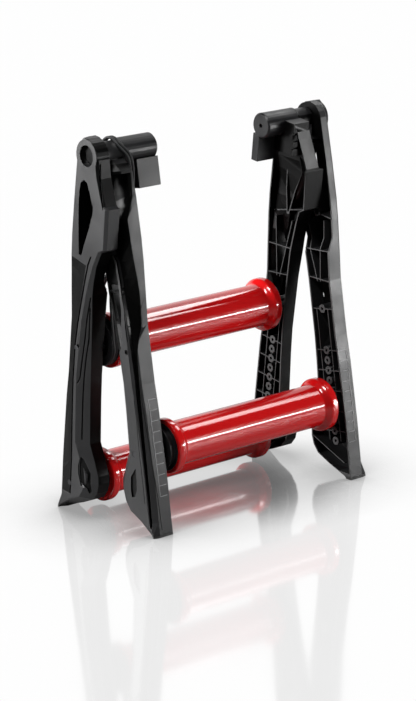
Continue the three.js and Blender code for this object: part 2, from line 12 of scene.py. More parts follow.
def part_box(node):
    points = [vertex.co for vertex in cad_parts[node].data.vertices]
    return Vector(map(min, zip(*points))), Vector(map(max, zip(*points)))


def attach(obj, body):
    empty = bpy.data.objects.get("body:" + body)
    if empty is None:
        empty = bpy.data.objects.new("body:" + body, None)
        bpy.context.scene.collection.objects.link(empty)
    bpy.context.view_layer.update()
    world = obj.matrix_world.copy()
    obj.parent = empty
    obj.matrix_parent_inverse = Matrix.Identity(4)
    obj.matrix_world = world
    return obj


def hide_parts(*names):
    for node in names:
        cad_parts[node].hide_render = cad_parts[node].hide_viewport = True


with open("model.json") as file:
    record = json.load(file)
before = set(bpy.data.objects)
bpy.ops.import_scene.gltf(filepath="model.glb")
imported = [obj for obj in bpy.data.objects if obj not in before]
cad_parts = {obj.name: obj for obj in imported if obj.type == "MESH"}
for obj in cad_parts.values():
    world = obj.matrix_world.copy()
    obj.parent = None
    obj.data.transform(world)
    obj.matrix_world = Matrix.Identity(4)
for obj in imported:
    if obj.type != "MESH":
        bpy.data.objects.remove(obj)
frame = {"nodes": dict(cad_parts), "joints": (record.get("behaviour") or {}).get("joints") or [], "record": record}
nodes = frame["nodes"]
joints = {joint["name"]: joint for joint in frame["joints"]}
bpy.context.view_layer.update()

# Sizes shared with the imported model
LEG_TILT = math.radians(8)
STAGGER = 0.0247
SEAT_GAP = 0.0003
DRUM_RADIUS = 0.03925
FLANGE_LAND = 0.012
FLARE_LENGTH = 0.014
FLANGE_ROUND = 0.0025
DRUM_WALL = 0.004
CAP_INSET = 0.00225
CAP_REACH = 0.008
CAP_PLUG = 0.012
WALL = 0.003
GROOVE_WALL = 0.0035
CHEEK_HEIGHT = 0.0065
CHEEK_THICKNESS = 0.0016
GROOVE_WIDTH = 0.0114
BEARING_RADIUS = 0.013
NECK_RADIUS = 0.020
NECK_START = 0.002
BARREL_LENGTH = 0.07085
PLATE_WIDTH = 0.046
BELT_RADIUS = 0.0025
BELT_SPREAD = 0.00285

hinge = Vector(joints["fold"]["pos_m"])
drum_low, drum_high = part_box("middle_drum")
DRUM_HALF = (drum_high.x - drum_low.x) / 2
FLANGE_RADIUS = (drum_high.z - drum_low.z) / 2
HALF_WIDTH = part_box("rear_foot_pad_right")[0].x + STAGGER / 2
CAP_FACE = DRUM_HALF + SEAT_GAP
CAP_RIM = DRUM_RADIUS - DRUM_WALL - CAP_INSET


def add_object(name, data):
    thing = bpy.data.objects.new(name, data)
    bpy.context.scene.collection.objects.link(thing)
    return thing


# Camera: the photograph's viewpoint, for an image 416 wide and 701 high
PHOTO_WIDTH = 416
FOCAL_PIXELS = 2381.9
SENSOR_WIDTH = 36
VIEW_DEPTH = 50
CAMERA_PLACE = (-2.5870, -3.2040, 1.4483)
CAMERA_YAW = math.radians(38.877)
CAMERA_PITCH = math.radians(16.022)
CAMERA_ROLL = math.radians(-1.248)


def add_camera():
    forward = Vector((
        math.sin(CAMERA_YAW) * math.cos(CAMERA_PITCH),
        math.cos(CAMERA_YAW) * math.cos(CAMERA_PITCH),
        -math.sin(CAMERA_PITCH),
    ))
    level = Vector((math.cos(CAMERA_YAW), -math.sin(CAMERA_YAW), 0))
    upright = level.cross(forward)
    right = math.cos(CAMERA_ROLL) * level + math.sin(CAMERA_ROLL) * upright
    up = -math.sin(CAMERA_ROLL) * level + math.cos(CAMERA_ROLL) * upright
    data = bpy.data.cameras.new("camera")
    data.sensor_fit = "HORIZONTAL"
    data.sensor_width = SENSOR_WIDTH
    data.lens = SENSOR_WIDTH * FOCAL_PIXELS / PHOTO_WIDTH
    data.clip_end = VIEW_DEPTH
    camera = add_object("camera", data)
    turned = Matrix((right, up, -forward)).transposed().to_4x4()
    camera.matrix_world = Matrix.Translation(CAMERA_PLACE) @ turned
    bpy.context.scene.camera = camera


add_camera()


# Materials
EDGE_ROUND = 0.0012
NOISE_SPAN = (0.3, 0.7)


def new_material(name):
    material = bpy.data.materials.new(name)
    material.use_nodes = True
    tree = material.node_tree
    return material, tree, tree.nodes["Principled BSDF"]


def noise(tree, scale, detail, stretch=(1, 1, 1)):
    """A noise value over the object's own coordinates; stretch squeezes it along an axis."""
    coordinates = tree.nodes.new("ShaderNodeTexCoord")
    mapping = tree.nodes.new("ShaderNodeMapping")
    mapping.inputs["Scale"].default_value = stretch
    tree.links.new(coordinates.outputs["Object"], mapping.inputs["Vector"])
    texture = tree.nodes.new("ShaderNodeTexNoise")
    texture.inputs["Scale"].default_value = scale
    texture.inputs["Detail"].default_value = detail
    tree.links.new(mapping.outputs["Vector"], texture.inputs["Vector"])
    return texture.outputs["Fac"]


def map_range(tree, value, given, wanted, curve="LINEAR"):
    """Maps a value from the given span onto the wanted one."""
    node = tree.nodes.new("ShaderNodeMapRange")
    node.interpolation_type = curve
    for name, number in zip(("From Min", "From Max", "To Min", "To Max"), (*given, *wanted)):
        node.inputs[name].default_value = number
    tree.links.new(value, node.inputs["Value"])
    return node.outputs["Result"]


def mix_shader(tree, share, first, second):
    node = tree.nodes.new("ShaderNodeMixShader")
    tree.links.new(share, node.inputs["Fac"])
    tree.links.new(first, node.inputs[1])
    tree.links.new(second, node.inputs[2])
    return node.outputs["Shader"]


def add_colour(tree, shader, value, span, dark, light):
    """Base colour from dark to light over a span of the value."""
    node = tree.nodes.new("ShaderNodeValToRGB")
    for element, place, colour in zip(node.color_ramp.elements, span, (dark, light)):
        element.position = place
        element.color = (*colour, 1)
    tree.links.new(value, node.inputs["Fac"])
    tree.links.new(node.outputs["Color"], shader.inputs["Base Color"])


def add_gloss(tree, shader, value, rough):
    """Roughness between two values, which follows a noise value."""
    tree.links.new(map_range(tree, value, NOISE_SPAN, rough), shader.inputs["Roughness"])


def add_bump(tree, shader, value, distance, edge=0.0):
    """Fine relief; edge also rounds the sharp edges by that radius."""
    bump = tree.nodes.new("ShaderNodeBump")
    if edge:
        rounded = tree.nodes.new("ShaderNodeBevel")
        rounded.inputs["Radius"].default_value = edge
        tree.links.new(rounded.outputs["Normal"], bump.inputs["Normal"])
    bump.inputs["Distance"].default_value = distance
    bump.inputs["Strength"].default_value = 1.0
    tree.links.new(value, bump.inputs["Height"])
    tree.links.new(bump.outputs["Normal"], shader.inputs["Normal"])


def moulded_plastic(name, dark, light, rough, grain=1400, depth=0.00006, shine=0.5):
    """Matt injection moulded plastic: fine spark grain, cloudy colour and handling marks in the gloss."""
    material, tree, shader = new_material(name)
    add_colour(tree, shader, noise(tree, scale=9, detail=5), (0.35, 0.68), dark, light)
    add_gloss(tree, shader, noise(tree, scale=26, detail=6), rough)
    shader.inputs["Specular IOR Level"].default_value = shine
    add_bump(tree, shader, noise(tree, scale=grain, detail=2), depth, EDGE_ROUND)
    return material


def gloss_lacquer(name, dark, light):
    """Glossy red drum: near even colour, faint flow marks round the drum and fine polishing haze."""
    material, tree, shader = new_material(name)
    add_colour(tree, shader, noise(tree, scale=14, detail=4, stretch=(0.25, 1, 1)), (0.3, 0.7), dark, light)
    add_gloss(tree, shader, noise(tree, scale=60, detail=6, stretch=(3, 1, 1)), rough=(0.1, 0.16))
    shader.inputs["Coat Weight"].default_value = 0.36
    shader.inputs["Coat Roughness"].default_value = 0.04
    add_bump(tree, shader, noise(tree, scale=240, detail=2, stretch=(2, 1, 1)), distance=0.00001)
    return material


def soft_rubber(name, dark, light, grain):
    material, tree, shader = new_material(name)
    add_colour(tree, shader, noise(tree, scale=40, detail=4), (0.35, 0.7), dark, light)
    add_gloss(tree, shader, noise(tree, scale=90, detail=5), rough=(0.55, 0.75))
    add_bump(tree, shader, noise(tree, scale=grain, detail=3), distance=0.00008)
    return material


def turned_steel(name, dark, light, rough):
    """Machined steel with fine turning lines and a little tarnish."""
    material, tree, shader = new_material(name)
    add_colour(tree, shader, noise(tree, scale=30, detail=5), (0.3, 0.7), dark, light)
    shader.inputs["Metallic"].default_value = 1.0
    add_gloss(tree, shader, noise(tree, scale=120, detail=5, stretch=(6, 1, 1)), rough)
    add_bump(tree, shader, noise(tree, scale=300, detail=2, stretch=(8, 1, 1)), distance=0.00003)
    return material


PLASTIC = moulded_plastic(
    "moulded_black", (0.011, 0.011, 0.0115), (0.017, 0.017, 0.018), rough=(0.34, 0.46), shine=0.38,
)
# Painted shade: the black plastic darkened, for the sides of grooves and recesses and for rail faces turned from
# the light
PAINTED_SHADE = moulded_plastic(
    "painted_shade_black", (0.0015, 0.0015, 0.0015), (0.003, 0.003, 0.003), rough=(0.3, 0.4),
    grain=900, depth=0.00002, shine=0.12,
)
RUBBED = moulded_plastic("rubbed_black", (0.24, 0.24, 0.243), (0.33, 0.33, 0.334), rough=(0.4, 0.5))
RIM = moulded_plastic("rubbed_rim", (0.035, 0.035, 0.036), (0.06, 0.06, 0.061), rough=(0.4, 0.5), shine=0.4)
CAP_PLASTIC = moulded_plastic(
    "cap_black", (0.006, 0.006, 0.0065), (0.011, 0.011, 0.012), rough=(0.28, 0.42), grain=900, shine=0.26,
)
NYLON = moulded_plastic(
    "nylon_black", (0.012, 0.012, 0.013), (0.02, 0.02, 0.021), rough=(0.5, 0.65), grain=700,
)
RED = gloss_lacquer("drum_red", (0.53, 0.004, 0.005), (0.61, 0.006, 0.007))
BELT = soft_rubber("belt_rubber", (0.008, 0.008, 0.009), (0.018, 0.018, 0.019), grain=600)
PAD = soft_rubber("pad_rubber", (0.006, 0.006, 0.006), (0.012, 0.012, 0.012), grain=350)
STEEL = turned_steel("turned_steel", (0.5, 0.51, 0.52), (0.68, 0.69, 0.7), rough=(0.22, 0.38))
DARK_STEEL = turned_steel("black_oxide_steel", (0.03, 0.03, 0.032), (0.07, 0.07, 0.073), rough=(0.35, 0.5))
BLACK_PIN = turned_steel("black_pin", (0.006, 0.006, 0.006), (0.012, 0.012, 0.012), rough=(0.5, 0.65))

SLOT_MATERIALS = {
    "black_plastic": PLASTIC,
    "red_drum": RED,
    "belt_rubber": BELT,
    "pad_rubber": PAD,
    "bright_steel": STEEL,
    "dark_steel": DARK_STEEL,
    "nylon": NYLON,
}


def set_material(piece, material):
    piece.data.materials.clear()
    piece.data.materials.append(material)


for row in frame["record"]["subparts"]:
    set_material(nodes[row["node"]], SLOT_MATERIALS[row["material_slot"]])
for side in ("left", "right"):
    set_material(nodes[f"hinge_pin_{side}"], BLACK_PIN)
    set_material(nodes[f"hinge_barrel_{side}"], CAP_PLASTIC)


# Meshes
TURNED_SMOOTH = math.radians(35)


def turn_faces_out(data, weld=0.0, triangles=False):
    """Points the faces of a closed mesh out, after joining points that lie closer than the weld."""
    made = bmesh.new()
    made.from_mesh(data)
    if weld:
        bmesh.ops.remove_doubles(made, verts=made.verts, dist=weld)
    bmesh.ops.recalc_face_normals(made, faces=made.faces)
    if triangles:
        bmesh.ops.triangulate(made, faces=made.faces)
    made.to_mesh(data)
    made.free()


def mesh_piece(name, points, faces, material, body, smooth_angle=None):
    data = bpy.data.meshes.new(name)
    data.from_pydata([tuple(point) for point in points], [], faces)
    data.validate()
    turn_faces_out(data)
    if smooth_angle is not None:
        data.shade_smooth()
        data.set_sharp_from_angle(angle=smooth_angle)
    piece = add_object(name, data)
    set_material(piece, material)
    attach(piece, body)
    return piece


def ring_faces(rings, count, closed):
    """Quads that join rings of count points each; closed also joins the last ring to the first."""
    faces = []
    for i in range(rings if closed else rings - 1):
        for j in range(count):
            a = i * count + j
            b = i * count + (j + 1) % count
            c = (i + 1) % rings * count + (j + 1) % count
            d = (i + 1) % rings * count + j
            faces.append((a, b, c, d))
    return faces


def lathe(name, centre, profile, material, body, sides):
    """A closed turned piece about X: the profile lists (x, radius) and closes on itself."""
    points = []
    for i in range(sides):
        angle = 2 * math.pi * i / sides
        for x, radius in profile:
            points.append((
                centre.x + x,
                centre.y + radius * math.cos(angle),
                centre.z + radius * math.sin(angle),
            ))
    faces = ring_faces(sides, len(profile), True)
    return mesh_piece(name, points, faces, material, body, TURNED_SMOOTH)


def arc(centre_x, centre_r, radius, start, end, steps):
    """Points (x, radius) on a round, in degrees from +x towards +radius."""
    made = []
    for i in range(steps + 1):
        angle = math.radians(start + (end - start) * i / steps)
        made.append((centre_x + radius * math.cos(angle), centre_r + radius * math.sin(angle)))
    return made


# Drums
DRUM_SIDES = 160
CAP_SIDES = 96
PULLEY_SIDES = 128
FLARE_STEPS = 18
FLANGE_STEPS = 6
FILLET_STEPS = 5
LIP_STEPS = 4
CAP_FILLET = 0.0012
CAP_LIP = WALL * 1.5
CAP_DISH = WALL * 2.5
CHEEK_ROUND = CHEEK_THICKNESS / 2
GROOVE_ROUND = CHEEK_THICKNESS * 0.6


def drum_profile():
    """The tube, which flares at each end to a rounded flange."""
    flare_start = DRUM_HALF - FLANGE_LAND - FLARE_LENGTH
    end = []
    for i in range(FLARE_STEPS + 1):
        share = i / FLARE_STEPS
        rise = (1 - math.cos(share * math.pi)) / 2
        end.append((flare_start + share * FLARE_LENGTH, DRUM_RADIUS + (FLANGE_RADIUS - DRUM_RADIUS) * rise))
    end += arc(DRUM_HALF - FLANGE_ROUND, FLANGE_RADIUS - FLANGE_ROUND, FLANGE_ROUND, 90, 0, FLANGE_STEPS)
    end.append((DRUM_HALF, DRUM_RADIUS - DRUM_WALL))
    start = [(-x, radius) for x, radius in reversed(end)]
    return start + end


def cap_profile(side):
    """A plug in the tube, a rounded rim outside it and a dished face round the bearing."""
    bore = DRUM_RADIUS - DRUM_WALL - SEAT_GAP * 2
    hub = BEARING_RADIUS + SEAT_GAP
    crest = CAP_FACE + CAP_REACH
    plug = CAP_FACE - CAP_PLUG
    profile = [(plug, hub), (plug, bore), (CAP_FACE, bore), (CAP_FACE, CAP_RIM)]
    profile += arc(crest - CAP_FILLET, CAP_RIM - CAP_FILLET, CAP_FILLET, 90, 0, FILLET_STEPS)
    profile += arc(crest - CAP_FILLET, CAP_RIM - CAP_LIP + CAP_FILLET, CAP_FILLET, 0, -90, FILLET_STEPS)
    profile += [(CAP_FACE + WALL, CAP_RIM - CAP_DISH), (crest, BEARING_RADIUS + WALL), (crest, hub)]
    return [(side * x, radius) for x, radius in profile]


def pulley_profile():
    """A ring round the left cap's rim, with a round-cornered groove between two cheeks."""
    groove_floor = CAP_RIM + GROOVE_WALL
    cheek = groove_floor + CHEEK_HEIGHT - CHEEK_ROUND
    inner = CAP_RIM + SEAT_GAP
    groove_end = CAP_FACE + CHEEK_THICKNESS + GROOVE_WIDTH
    ledge = CAP_FACE + CAP_REACH + SEAT_GAP
    corner = groove_floor + GROOVE_ROUND
    profile = [(CAP_FACE, inner), (CAP_FACE, cheek)]
    profile += arc(CAP_FACE + CHEEK_ROUND, cheek, CHEEK_ROUND, 180, 30, FILLET_STEPS)
    profile += arc(CAP_FACE + CHEEK_THICKNESS + GROOVE_ROUND, corner, GROOVE_ROUND, 180, 270, LIP_STEPS)
    profile += arc(groove_end - GROOVE_ROUND, corner, GROOVE_ROUND, 270, 360, LIP_STEPS)
    profile += arc(groove_end + CHEEK_THICKNESS, cheek - CHEEK_ROUND, CHEEK_ROUND, 150, 0, FILLET_STEPS)
    profile += [(groove_end + CHEEK_THICKNESS + CHEEK_ROUND, CAP_RIM - WALL), (ledge, CAP_RIM - WALL)]
    profile += [(ledge, inner)]
    return [(-x, radius) for x, radius in profile]


def dress_drum(name, has_pulley):
    body = f"{name}_drum_body"
    centre = Vector(joints[f"{name}_drum_spin"]["pos_m"])
    skin = lathe(f"{name}_drum_skin", centre, drum_profile(), RED, body, DRUM_SIDES)
    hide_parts(f"{name}_drum")
    for side, label in ((-1, "left"), (1, "right")):
        cap = lathe(
            f"{name}_end_cap_{label}", centre, cap_profile(side),
            CAP_PLASTIC, body, CAP_SIDES,
        )
        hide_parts(f"{name}_drum_cap_{label}")
    if has_pulley:
        pulley = lathe(
            f"{name}_belt_pulley", centre, pulley_profile(),
            CAP_PLASTIC, body, PULLEY_SIDES,
        )
        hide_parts(f"{name}_pulley")


dress_drum("middle", True)
dress_drum("rear", False)
dress_drum("front", True)


# Rails
MILLIMETRES = 1000
RAIL_DEPTH = 39.4
SKIN_TOP = RAIL_DEPTH + 1
HOLE_DEPTH = 2.6
DISC_SIDES = 24

# Each rail's section (-1 rear, 1 front), its side, the way its leg slants in Y, and which moulding it is
RAIL_SIDES = {
    "rear_rail_left": (-1, -1, 1, "outer"),
    "rear_rail_right": (-1, 1, 1, "inner"),
    "front_rail_left": (1, -1, -1, "inner"),
    "front_rail_right": (1, 1, -1, "outer"),
}


def rail_body(rail):
    return "rear_section" if rail.startswith("rear") else "front_section"


def rail_point(rail, reach, height, depth):
    """A place on a rail in the shared frame.

    In millimetres, reach is the way down the leg from the hinge, height the way towards the tread edge, and
    depth the way out from the rail's inner plane. The outlines below call them u, v and w.
    """
    section, side, back, _ = RAIL_SIDES[rail]
    u, v, w = reach / MILLIMETRES, height / MILLIMETRES, depth / MILLIMETRES
    return Vector((
        section * STAGGER / 2 + side * (HALF_WIDTH + w),
        hinge.y + back * (u * math.sin(LEG_TILT) + v * math.cos(LEG_TILT)),
        hinge.z - u * math.cos(LEG_TILT) + v * math.sin(LEG_TILT),
    ))


def rail_loft(rail, rings):
    """A closed solid through rings of (reach, height, depth), to add to the rail or cut from it."""
    count = len(rings[0])
    points = [tuple(rail_point(rail, *place)) for ring in rings for place in ring]
    faces = ring_faces(len(rings), count, False)
    faces.append(tuple(range(count)))
    faces.append(tuple(range((len(rings) - 1) * count, len(rings) * count)))
    data = bpy.data.meshes.new("tool")
    data.from_pydata(points, [], faces)
    turn_faces_out(data, triangles=True)
    return add_object("tool", data)


def plate(rail, outline, top, bottom):
    """A solid with an outline of (reach, height) between two depths."""
    return rail_loft(rail, [[(u, v, w) for u, v in outline] for w in (bottom, top)])


# The way out of the moulding on each of its long faces, as (height, depth)
SKIN = (0, 1)
SLOPE = (-0.55, 0.83)
CHAMFER = (0.65, 0.76)
TREAD = (1, 0)


def groove(rail, path, face, width, depth):
    """A wedge along places on one long face of the rail, half as wide at its floor."""
    out_v, out_w = face
    rings = []
    for u, v, w in path:
        rings.append([
            (u, v + out_v + out_w * width / 2, w + out_w - out_v * width / 2),
            (u, v + out_v - out_w * width / 2, w + out_w + out_v * width / 2),
            (u, v - out_v * depth - out_w * width / 4, w - out_w * depth + out_v * width / 4),
            (u, v - out_v * depth + out_w * width / 4, w - out_w * depth - out_v * width / 4),
        ])
    return rail_loft(rail, rings)


def on_skin(line):
    return [(u, v, RAIL_DEPTH) for u, v in line]


def slab(rail, outline, top, bottom):
    """A solid along an outline of places on the surface, from top above it to bottom below it."""
    return rail_loft(rail, [[(u, v, w + rise) for u, v, w in outline] for rise in (top, -bottom)])


def disc(centre, radius):
    turns = [2 * math.pi * i / DISC_SIDES for i in range(DISC_SIDES)]
    return [(centre[0] + radius * math.cos(turn), centre[1] + radius * math.sin(turn)) for turn in turns]


def grown(outline, room):
    """An outline of (reach, height) moved out from its middle by about the given room."""
    middle_u = sum(u for u, _ in outline) / len(outline)
    middle_v = sum(v for _, v in outline) / len(outline)
    made = []
    for u, v in outline:
        run = math.hypot(u - middle_u, v - middle_v)
        made.append((u + (u - middle_u) / run * room, v + (v - middle_v) / run * room))
    return made


def grown_line(outline, room):
    """The same for places of (reach, height, depth), each kept at its depth."""
    made = grown([(u, v) for u, v, _ in outline], room)
    return [(u, v, w) for (u, v), (_, _, w) in zip(made, outline)]


# Outer rail: the window, the grooves beside the lit band, the step at the tread edge, the heel and a hole
WINDOW = [
    (43, 3), (50, 12), (66, 14.5), (82, 15), (118, 13), (153, 10), (178, 7), (178, 0),
    (157, -6), (137, -13), (123, -18), (97, -24), (84, -26), (72, -19), (58, -12), (46, -6),
]
WINDOW_FLOOR = -5
WINDOW_WALL = 2.4
WINDOW_WALL_TOP = RAIL_DEPTH - 0.8
WINDOW_WALL_FLOOR = 14
BODY_GROOVE = [
    (172, -27), (189, -20), (218, -14), (258, -7), (307, 1), (346, 5), (413, 6), (488, 3), (564, -1.4),
    (630, -2),
]
EDGE_BAND = [
    (184, 60), (192, -15), (220, -10.5), (258, -5), (307, 3), (346, 7), (413, 8), (488, 5), (564, 0.6),
    (630, 0), (634, 60),
]
EDGE_STEP = 0.6
STEP_GROOVE = [
    (248, -25.8, 34), (292, -18.2, 33.9), (330, -15.4, 33.8), (389, -10, 35.1), (405, -8.9, 35.5),
    (416, -5, 38.4),
]
BAND_GROOVE = [
    (268, -24, 32.8), (329, -21.5, 29.8), (368, -17.5, 31), (407, -15.2, 31.3), (445, -15.8, 31.7),
    (520, -19.4, 32.1),
]
ARM_EDGE = [(6, -31, 33), (32, -36.7, 35.9), (64, -47.5, 37.8), (80, -53, 39)]
HEEL_POCKET = [
    (549, -25.9, 37.3), (553, -31.8, 34.9), (575, -48.8, 30.8), (609, -52.4, 29.1), (614, -48.2, 30.1),
    (603, -44.7, 34.9), (596, -29.4, 39.4), (565, -24.3, 39.4),
]
HEEL_OVERRUN = 2
HEEL_DEPTH = 2.4
HEEL_MARGIN = 1.5
HEEL_PATCH_TOP = -0.6
HEEL_PATCH_FLOOR = HEEL_DEPTH + 2.2
OUTER_HOLE = (345, -3.6)
OUTER_HOLE_RADIUS = 3.6


def outer_tools(rail):
    """What is added to an outer rail, and what is cut from it."""
    adds = [
        plate(rail, grown(WINDOW, WINDOW_WALL), WINDOW_WALL_TOP, WINDOW_WALL_FLOOR),
        slab(rail, grown_line(HEEL_POCKET, HEEL_MARGIN), HEEL_PATCH_TOP, HEEL_PATCH_FLOOR),
    ]
    cuts = [
        plate(rail, WINDOW, SKIN_TOP, WINDOW_FLOOR),
        groove(rail, on_skin(BODY_GROOVE), SKIN, width=4.4, depth=2.4),
        plate(rail, EDGE_BAND, SKIN_TOP, RAIL_DEPTH - EDGE_STEP),
        groove(rail, STEP_GROOVE, SLOPE, width=3, depth=2),
        groove(rail, BAND_GROOVE, SLOPE, width=3.2, depth=2),
        groove(rail, ARM_EDGE, SLOPE, width=2.4, depth=1.8),
        slab(rail, HEEL_POCKET, HEEL_OVERRUN, HEEL_DEPTH),
        plate(rail, disc(OUTER_HOLE, OUTER_HOLE_RADIUS), SKIN_TOP, RAIL_DEPTH - HOLE_DEPTH),
    ]
    return adds, cuts


# Inner rail: the long recess beside the tread strip, its lining, fine grooves, a pocket and a round hole
RECESS = [
    # reach, then (height, depth) of the edge on the skin, two bottom corners and the edge on the tread
    (36, (-34, 34.3), (-33, 17), (33, 8), (39.6, 3)),
    (74, (-34, 34.3), (-33, 17), (35, 9), (41.6, 7.3)),
    (95, (-34, 34.3), (-32, 17), (35, 13), (41.9, 16)),
    (114, (-28, 34.3), (-26, 18), (34, 17), (41.6, 24.5)),
    (150, (-10, 34.3), (-8, 22), (34, 16), (42.6, 24)),
    (186, (9, 34.3), (9, 25), (34, 13), (41.4, 21)),
    (217, (12, 34.3), (12, 25), (32, 9.5), (39, 16.5)),
    (242, (16, 36.9), (15, 27), (30, 8), (37.2, 13.8)),
    (268, (20, 38), (17.5, 28), (28, 8), (35.2, 13.4)),
    (303, (22.5, 36), (19, 27), (26, 10), (32.8, 15)),
    (325, (22.8, 36), (19.5, 28), (26, 20), (32.2, 24)),
    (338, (23.3, 35.6), (20, 28), (27, 23), (31.8, 28)),
    (364, (23.7, 35.3), (20, 28), (27, 25), (30.6, 29.4)),
    (390, (24.2, 35.2), (20.5, 28), (26.5, 26), (30.2, 30.5)),
    (425, (24.5, 36.2), (21, 29), (26, 27), (30.2, 31.6)),
    (460, (25.2, 37), (21.5, 30), (26, 28), (30.4, 32.6)),
    (513, (25.4, 37.6), (21.5, 31), (26, 30), (29.8, 34)),
    (566, (25.7, 38), (22, 32), (26, 31), (29.5, 34.8)),
    (601, (25, 38), (22, 32), (25.5, 31.5), (28.8, 35)),
    (652, (24.4, 38.8), (22, 33), (24.5, 33), (27.8, 36.8)),
]
RECESS_BACK = 2.6
RECESS_BITE = 0.5
RECESS_SKIN_ROOM = 1
RECESS_TREAD_ROOM = 0.4
CUTTER_PAST_TREAD = 10
CUTTER_OVER_TREAD = 5
CUTTER_OVER_SKIN = 14
CUTTER_PAST_SKIN = 4
SHADE_OUTLINE = [
    (150, -22), (150, -14), (186, 4), (217, 6.5), (242, 10.5), (268, 12), (303, 8), (329, 5), (346, -8),
    (330, -26), (250, -26),
]
SHADE_LEVEL_SHARE = 0.87
SHADE_DEPTH = 2.2
PARTING = [(391, 31.1, 29.4), (425, 31.6, 30.4), (460, 33.3, 30.2), (513, 35.8, 28.8), (560, 37, 28)]
TREAD_PARTING = [(560, 37.4, 27.6), (603, 36.7, 24.8), (657, 35.6, 22.9)]
HAIR_GROOVE = [(424, 20.8), (460, 21.3), (513, 18.4), (566, 18.4), (609, 17.5)]
UPPER_HAIR = [(268, 20.7, 38.6), (302, 20, 38.6), (323, 20.8, 38)]
INNER_POCKET = [(548, 1.6), (564, -14.5), (588, -19), (601, -18.5), (600, -9.6), (586, -1.3), (568, 0.7)]
POCKET_DEPTH = 2.5
INNER_HOLE = (342, 14.6)
INNER_HOLE_RADIUS = 4.6


def inner_tools(rail):
    """What is added to an inner rail, and what is cut from it."""
    lining, channel = [], []
    for u, edge, near, far, tread in RECESS:
        (v0, w0), (v1, w1), (v2, w2), (v3, w3) = edge, near, far, tread
        past_tread = v3 + CUTTER_PAST_TREAD
        over_skin = w0 + CUTTER_OVER_SKIN
        channel.append([
            (u, v0, w0), (u, v1, w1), (u, v2, w2), (u, v3, w3),
            (u, past_tread, w3 + CUTTER_OVER_TREAD),
            (u, past_tread, over_skin),
            (u, v0 + CUTTER_PAST_SKIN, over_skin),
        ])
        lining.append([
            (u, v0 - RECESS_BACK, w0 - RECESS_SKIN_ROOM),
            (u, v1 - RECESS_BACK, w1 - RECESS_BACK),
            (u, v2 + RECESS_BACK / 2, w2 - RECESS_BACK),
            (u, v3 - RECESS_TREAD_ROOM, w3 - RECESS_BACK),
            (u, v2 + RECESS_BITE, w2 + RECESS_BITE),
            (u, v1 + RECESS_BITE, w1 + RECESS_BITE),
        ])
    cuts = [
        rail_loft(rail, channel),
        groove(rail, PARTING, CHAMFER, width=1.3, depth=1.0),
        groove(rail, TREAD_PARTING, TREAD, width=1.3, depth=1.4),
        groove(rail, on_skin(HAIR_GROOVE), SKIN, width=1.5, depth=1.5),
        groove(rail, UPPER_HAIR, SKIN, width=1.3, depth=1.2),
        plate(rail, INNER_POCKET, SKIN_TOP, RAIL_DEPTH - POCKET_DEPTH),
        plate(rail, SHADE_OUTLINE, SKIN_TOP, RAIL_DEPTH * SHADE_LEVEL_SHARE - SHADE_DEPTH),
        plate(rail, disc(INNER_HOLE, INNER_HOLE_RADIUS), SKIN_TOP, RAIL_DEPTH - HOLE_DEPTH),
    ]
    return [rail_loft(rail, lining)], cuts


# The scale on the tread strip beside the row of axle holes
SCALE_START = 427.5
SCALE_PITCH = 19
SCALE_COUNT = 10
SCALE_LINE = 19
SCALE_END = 4
SCALE_GAP = 0.1
SCALE_ROOT = 1
SCALE_RISE = 0.55
LINE_WIDTH = 1.2
RUNG_HALF = 0.6
TREAD_LINE = [
    (401, 32.6), (448, 35.7), (526, 37), (552, 37.4), (578, 37.4), (593, 37), (610, 36.6), (626, 36.3),
]


def read_line(line, reach):
    """The height at a reach on a line of (reach, height)."""
    for (u0, v0), (u1, v1) in zip(line, line[1:]):
        if reach <= u1:
            return v0 + (v1 - v0) * max(reach - u0, 0) / (u1 - u0)
    return line[-1][1]


def scale_marks(rail):
    """One long raised line and a rung at each hole, set into the tread strip."""
    points, faces = [], []

    def strip(u0, u1, w0, w1):
        first = len(points)
        for u in (u0, u1):
            tread = read_line(TREAD_LINE, u)
            low, high = tread - SCALE_ROOT, tread + SCALE_RISE
            for v, w in ((low, w0), (high, w0), (high, w1), (low, w1)):
                points.append(rail_point(rail, u, v, w))
        sides = ring_faces(2, 4, False) + [(0, 1, 2, 3), (4, 5, 6, 7)]
        faces.extend(tuple(first + i for i in face) for face in sides)

    for i in range(SCALE_COUNT):
        u = SCALE_START + SCALE_PITCH * i
        strip(u - RUNG_HALF, u + RUNG_HALF, SCALE_END, SCALE_LINE - SCALE_GAP)
        if i + 1 < SCALE_COUNT:
            after = u + SCALE_PITCH - RUNG_HALF - SCALE_GAP
            strip(u - RUNG_HALF, after, SCALE_LINE, SCALE_LINE + LINE_WIDTH)
    mesh_piece(f"{rail}_scale", points, faces, RUBBED, rail_body(rail))


# A rail's materials: textured skin, painted shade on the sides of its cuts and on faces turned from the light, and
# rubbed rims of its walls and ribs
RAIL_MATERIALS = [PLASTIC, PAINTED_SHADE, RIM]
PLASTIC_FACE, SHADED_FACE, RIM_FACE = range(3)
RAIL_SMOOTH = math.radians(9)
WELD = 0.00001

# Where the painted shade and the rubbed rims change along a rail, and how squarely a face looks one way, as a
# share of its normal
SHADE_PAINT_REACH = (-40, 630)
OUTER_SLANT_REACH = (-40, 70)
INNER_SLANT_REACH = (20, 335)
BLOCK_REACH = (97, 150)
RECESS_END_REACH = (20, 40)
RECESS_TOP_REACH = (20, 128)
RECESS_TOP_HEIGHT = 37
BEVEL_REACH = (200, 640)
BEVEL_OUTWARD = (0.5, 0.9)
BEVEL_TOWARDS = 0.5
SQUARE = 0.8
SLANTED = 0.4
RIM_START = 108
RIM_DEPTH = 14


